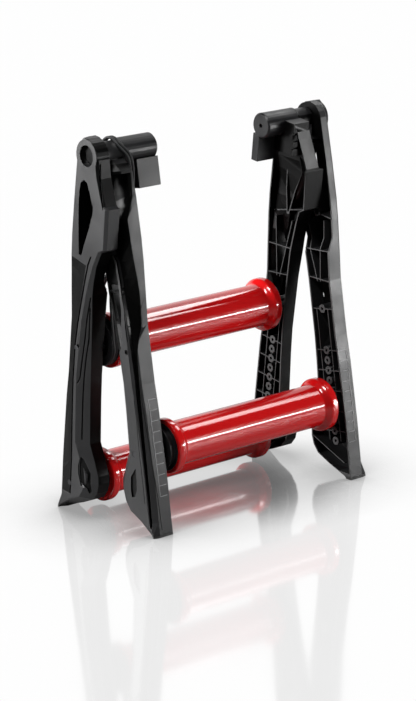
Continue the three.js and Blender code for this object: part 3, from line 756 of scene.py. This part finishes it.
def combine(piece, tools, operation, finish):
    """Adds the tools to the piece or cuts them from it; finish is the new faces' material, which the callers set
    to painted shade for cut faces.
    """
    for tool in tools:
        for material in RAIL_MATERIALS:
            tool.data.materials.append(material)
        for face in tool.data.polygons:
            face.material_index = finish
        change = piece.modifiers.new("change", "BOOLEAN")
        change.operation = operation
        change.solver = "EXACT"
        change.object = tool
        bpy.context.view_layer.update()
        shaped = piece.evaluated_get(bpy.context.evaluated_depsgraph_get())
        data = bpy.data.meshes.new_from_object(shaped)
        piece.modifiers.clear()
        piece.data = data
        bpy.data.objects.remove(tool)


def within(value, span):
    return span[0] < value < span[1]


def gets_painted_shade(kind, reach, height, towards, outward):
    """Whether a face gets painted shade: it looks towards the floor or the inner side, or lies at the recess or
    the bevel.
    """
    outer = kind == "outer"
    slanted = towards < -SLANTED and within(reach, OUTER_SLANT_REACH if outer else INNER_SLANT_REACH)
    block = outer and within(reach, BLOCK_REACH)
    floor_edge = within(reach, SHADE_PAINT_REACH) and (towards < -SQUARE or slanted) and not block
    recess_top = within(reach, RECESS_TOP_REACH) and height < RECESS_TOP_HEIGHT
    recess = not outer and (within(reach, RECESS_END_REACH) or recess_top)
    turned = towards > BEVEL_TOWARDS and within(outward, BEVEL_OUTWARD)
    bevel = outer and turned and within(reach, BEVEL_REACH)
    return floor_edge or outward < -SQUARE or recess or bevel


def paint_shade_and_rub_rims(rail, piece):
    """Paints shade on some of the moulded faces, those turned from the light or in the recess, and rubs the rims
    of the walls and ribs on the inner side.
    """
    section, side, back, kind = RAIL_SIDES[rail]
    for face in piece.data.polygons:
        if face.material_index != PLASTIC_FACE:
            continue
        down = hinge.z - face.center.z
        away = (face.center.y - hinge.y) * back
        reach = (away * math.sin(LEG_TILT) + down * math.cos(LEG_TILT)) * MILLIMETRES
        height = (away * math.cos(LEG_TILT) - down * math.sin(LEG_TILT)) * MILLIMETRES
        depth = ((face.center.x - section * STAGGER / 2) * side - HALF_WIDTH) * MILLIMETRES
        towards = face.normal.y * back * math.cos(LEG_TILT) + face.normal.z * math.sin(LEG_TILT)
        outward = face.normal.x * side
        # Painted shade: faces turned from the light, in the recess or at the bevel get the darkened black
        if gets_painted_shade(kind, reach, height, towards, outward):
            face.material_index = SHADED_FACE
        if outward < -SQUARE and depth < RIM_DEPTH and reach > RIM_START:
            face.material_index = RIM_FACE


def dress_rail(rail):
    """Copies a CAD moulding, shapes it and gives its faces their materials, with painted shade on its cut faces
    and on faces turned from the light.
    """
    *_, kind = RAIL_SIDES[rail]
    source = nodes[rail]
    data = source.data.copy()
    data.transform(source.matrix_world)
    turn_faces_out(data, weld=WELD)
    data.materials.clear()
    for material in RAIL_MATERIALS:
        data.materials.append(material)
    piece = add_object(f"{rail}_moulding", data)
    adds, cuts = outer_tools(rail) if kind == "outer" else inner_tools(rail)
    combine(piece, adds, "UNION", PLASTIC_FACE)
    # The faces the cuts leave get painted shade
    combine(piece, cuts, "DIFFERENCE", SHADED_FACE)
    scale_marks(rail)
    paint_shade_and_rub_rims(rail, piece)
    piece.data.shade_smooth()
    piece.data.set_sharp_from_angle(angle=RAIL_SMOOTH)
    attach(piece, rail_body(rail))
    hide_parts(rail)


for rail in RAIL_SIDES:
    dress_rail(rail)


# Drive belt, on the route of its solid: a closed loop of two turns over the left neck and the middle pulley
NECK_ROOM = SEAT_GAP * 9
PULLEY_ROOM = SEAT_GAP * 5
BELT_STEPS = 720
BELT_SIDES = 14
SWAP_START = 0.25
SWAP_END = 0.42
TURN_STEP = 0.0001


def route_arc(x, centre_y, centre_z, radius, start, end, count):
    made = []
    for i in range(count):
        angle = math.radians(start + (end - start) * i / (count - 1))
        made.append((x, centre_y + radius * math.cos(angle), centre_z + radius * math.sin(angle)))
    return made


def belt_route():
    """The points that one turn of the belt follows, from the hinge, as in the belt's solid."""
    neck_loop = NECK_RADIUS + BELT_RADIUS + NECK_ROOM
    pulley_loop = CAP_RIM + GROOVE_WALL + BELT_RADIUS + PULLEY_ROOM
    middle = Vector(joints["middle_drum_spin"]["pos_m"]) - hinge
    y, z = middle.y, middle.z
    belt_plane = -(DRUM_HALF + STAGGER / 2 + SEAT_GAP + CHEEK_THICKNESS + GROOVE_WIDTH / 2)
    neck_plane = belt_plane - BELT_SPREAD
    in_plane = STAGGER / 2 - HALF_WIDTH + BELT_SPREAD + BELT_RADIUS
    barrel_inner = HALF_WIDTH + NECK_START - WALL - SEAT_GAP - BARREL_LENGTH
    inner = -(barrel_inner + PLATE_WIDTH)
    back = [
        (neck_plane, neck_loop * 0.65, z * 0.114),
        (in_plane - BELT_RADIUS, neck_loop * 0.235, z * 0.247),
        (inner, y * 0.234, z * 0.4),
        (inner, y * 0.546, z * 0.552),
        ((inner + belt_plane) / 2, y * 1.17, z * 0.723),
    ]
    front = [
        ((in_plane + belt_plane) / 2, y * 0.468, z * 0.723),
        (in_plane + BELT_RADIUS * 2, y * 0.338, z * 0.59),
        (in_plane, 0, z * 0.457),
        (in_plane, -neck_loop * 0.68, z * 0.333),
        (in_plane + BELT_RADIUS, -neck_loop * 1.23, z * 0.114),
        (in_plane - BELT_RADIUS / 2, -neck_loop * 1.15, z * 0.015),
    ]
    points = route_arc(neck_plane, 0, 0, neck_loop, 140, -10, 6) + back
    points += route_arc(belt_plane, y, z, pulley_loop, 20, -200, 7) + front
    return [Vector(point) for point in points]


def smooth_loop(points, turn):
    """A closed centripetal Catmull-Rom curve through the points."""
    count = len(points)
    place = (turn % 1) * count
    first = int(place)
    weight = place - first
    p0, p1, p2, p3 = (points[(first + k) % count] for k in (-1, 0, 1, 2))
    d0 = math.sqrt((p1 - p0).length)
    d1 = math.sqrt((p2 - p1).length)
    d2 = math.sqrt((p3 - p2).length)
    t1 = ((p1 - p0) / d0 - (p2 - p0) / (d0 + d1) + (p2 - p1) / d1) * d1
    t2 = ((p2 - p1) / d1 - (p3 - p1) / (d1 + d2) + (p3 - p2) / d2) * d1
    square = weight * weight
    cube = square * weight
    made = p1 + t1 * weight
    made += (p1 * -3 + p2 * 3 - t1 * 2 - t2) * square
    return made + (p1 * 2 - p2 * 2 + t1 + t2) * cube


def belt_point(points, t):
    """A point on the belt's middle: two strands beside the route, which change sides once in each turn."""
    turn = (t * 2) % 1
    share = min(max((turn - SWAP_START) / (SWAP_END - SWAP_START), 0), 1)
    swap = share * share * (3 - 2 * share)
    angle = math.pi * (swap + (1 if t >= 0.5 else 0))
    along = (smooth_loop(points, turn + TURN_STEP) - smooth_loop(points, turn - TURN_STEP)).normalized()
    across = (Vector((1, 0, 0)) - along * along.x).normalized()
    outward = along.cross(across)
    offset = across * math.cos(angle) + outward * math.sin(angle)
    return hinge + smooth_loop(points, turn) + offset * BELT_SPREAD


def drive_belt():
    points = belt_route()
    centres = [belt_point(points, i / BELT_STEPS) for i in range(BELT_STEPS)]
    normal = Vector((1, 0, 0))
    normals, tangents = [], []
    for i in range(BELT_STEPS):
        tangent = (centres[(i + 1) % BELT_STEPS] - centres[i - 1]).normalized()
        normal = (normal - tangent * normal.dot(tangent)).normalized()
        normals.append(normal)
        tangents.append(tangent)
    # The frame carried round the loop comes back turned; the turn is spread over the whole belt.
    last = (normals[-1] - tangents[0] * normals[-1].dot(tangents[0])).normalized()
    slip = math.atan2(tangents[0].dot(last.cross(normals[0])), last.dot(normals[0]))
    vertices = []
    for i in range(BELT_STEPS):
        side = tangents[i].cross(normals[i])
        for j in range(BELT_SIDES):
            angle = 2 * math.pi * j / BELT_SIDES + slip * i / BELT_STEPS
            out = normals[i] * math.cos(angle) + side * math.sin(angle)
            vertices.append(centres[i] + out * BELT_RADIUS)
    faces = ring_faces(BELT_STEPS, BELT_SIDES, True)
    belt = mesh_piece("drive_belt_loop", vertices, faces, BELT, "rear_section", math.pi)
    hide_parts("drive_belt")


drive_belt()


# Studio floor: its shade and gloss, the shadow it shows where little sky reaches it, and its mirror image
FLOOR_HALF = 6.0
FLOOR_GREY = 0.25
FLOOR_ROUGHNESS = 0.4
FLOOR_WHITE = 1.04
SHADOW_WHITE = 0.42
SHADOW_REACH = 0.22
OPEN_SHARES = (0.55, 0.97)
MIRROR_ROUGH = (0.06, 0.1)
FLOOR_MIRROR = 0.2
NEAR_MIRROR = 0.72
MIRROR_MIDDLE = (0.01, 0, 0)
MIRROR_NEAR = 0.09
MIRROR_FAR = 0.26


def glossy_floor():
    """To the camera the floor is white where it is open, with soft shadows and a pale mirror image."""
    material, tree, shader = new_material("studio_floor")
    shader.inputs["Base Color"].default_value = (FLOOR_GREY, FLOOR_GREY, FLOOR_GREY, 1)
    shader.inputs["Roughness"].default_value = FLOOR_ROUGHNESS
    shade = tree.nodes.new("ShaderNodeAmbientOcclusion")
    shade.inputs["Distance"].default_value = SHADOW_REACH
    base = tree.nodes.new("ShaderNodeEmission")
    level = map_range(tree, shade.outputs["AO"], OPEN_SHARES, (SHADOW_WHITE, FLOOR_WHITE))
    tree.links.new(level, base.inputs["Strength"])
    mirror = tree.nodes.new("ShaderNodeBsdfAnisotropic")
    add_gloss(tree, mirror, noise(tree, scale=3, detail=3), MIRROR_ROUGH)
    place = tree.nodes.new("ShaderNodeTexCoord")
    run = tree.nodes.new("ShaderNodeVectorMath")
    run.operation = "DISTANCE"
    run.inputs[1].default_value = MIRROR_MIDDLE
    tree.links.new(place.outputs["Object"], run.inputs[0])
    reaches, shares = (MIRROR_NEAR, MIRROR_FAR), (NEAR_MIRROR, FLOOR_MIRROR)
    fade = map_range(tree, run.outputs["Value"], reaches, shares, "SMOOTHSTEP")
    seen = mix_shader(tree, fade, base.outputs["Emission"], mirror.outputs["BSDF"])
    light_path = tree.nodes.new("ShaderNodeLightPath")
    surface = mix_shader(tree, light_path.outputs["Is Camera Ray"], shader.outputs["BSDF"], seen)
    tree.links.new(surface, tree.nodes["Material Output"].inputs["Surface"])
    return material


def add_floor():
    corners = [(x * FLOOR_HALF, y * FLOOR_HALF, 0) for x, y in ((-1, -1), (1, -1), (1, 1), (-1, 1))]
    data = bpy.data.meshes.new("floor")
    data.from_pydata(corners, [], [(0, 1, 2, 3)])
    floor = add_object("floor", data)
    set_material(floor, glossy_floor())


# Studio light: the room, and panels as name, size, place, aim and strength
ROOM_LIGHT = 0.05
BACKDROP_LIGHT = 1.0
BACKDROP_EDGE = 0.72
BACKDROP_BLEND = 0.12
BACKDROP_RISE = 0.2
WHITE = (1, 1, 1, 1)
PANELS = [
    ("drum_strip", (1.15, 0.13), (1.58, -1.65, 0.38), (0.2, 0, 0.3), 22),
    ("upper_strip", (1.5, 0.22), (1.25, 0.1, 1.95), (0, 0, 0.3), 11),
    ("key_panel", (0.8, 0.4), (-1.3, -0.3, 2.3), (0, 0, 0.4), 34),
    ("left_panel", (0.5, 0.9), (-1.5, 0.9, 0.9), (-0.25, 0, 0.45), 60),
    ("right_panel", (0.36, 0.9), (1.82, -1.9, 0.45), (0.25, 0, 0.4), 19),
]


def add_world():
    """White to the camera; otherwise a bright backdrop behind the object and a dim room round it."""
    world = bpy.data.worlds.new("studio")
    bpy.context.scene.world = world
    world.use_nodes = True
    tree = world.node_tree
    direction = tree.nodes.new("ShaderNodeTexCoord")
    facing = tree.nodes.new("ShaderNodeVectorMath")
    facing.operation = "DOT_PRODUCT"
    facing.inputs[1].default_value = (math.sin(CAMERA_YAW), math.cos(CAMERA_YAW), BACKDROP_RISE)
    tree.links.new(direction.outputs["Generated"], facing.inputs[0])
    edge = (BACKDROP_EDGE, BACKDROP_EDGE + BACKDROP_BLEND)
    level = map_range(tree, facing.outputs["Value"], edge, (ROOM_LIGHT, BACKDROP_LIGHT))
    room = tree.nodes["Background"]
    room.inputs["Color"].default_value = WHITE
    tree.links.new(level, room.inputs["Strength"])
    white = tree.nodes.new("ShaderNodeBackground")
    white.inputs["Color"].default_value = WHITE
    white.inputs["Strength"].default_value = 1.0
    light_path = tree.nodes.new("ShaderNodeLightPath")
    is_camera = light_path.outputs["Is Camera Ray"]
    surface = mix_shader(tree, is_camera, room.outputs["Background"], white.outputs["Background"])
    tree.links.new(surface, tree.nodes["World Output"].inputs["Surface"])


def add_panel(name, size, place, aim, strength):
    """A flat rectangular lamp that the camera doesn't see."""
    data = bpy.data.lights.new(name, "AREA")
    data.shape = "RECTANGLE"
    data.size, data.size_y = size
    data.energy = strength
    lamp = add_object(name, data)
    direction = Vector(aim) - Vector(place)
    lamp.matrix_world = Matrix.Translation(place) @ direction.to_track_quat("-Z", "Y").to_matrix().to_4x4()
    lamp.visible_camera = False


add_floor()
add_world()
for panel in PANELS:
    add_panel(*panel)
bpy.context.scene.view_settings.view_transform = "Standard"
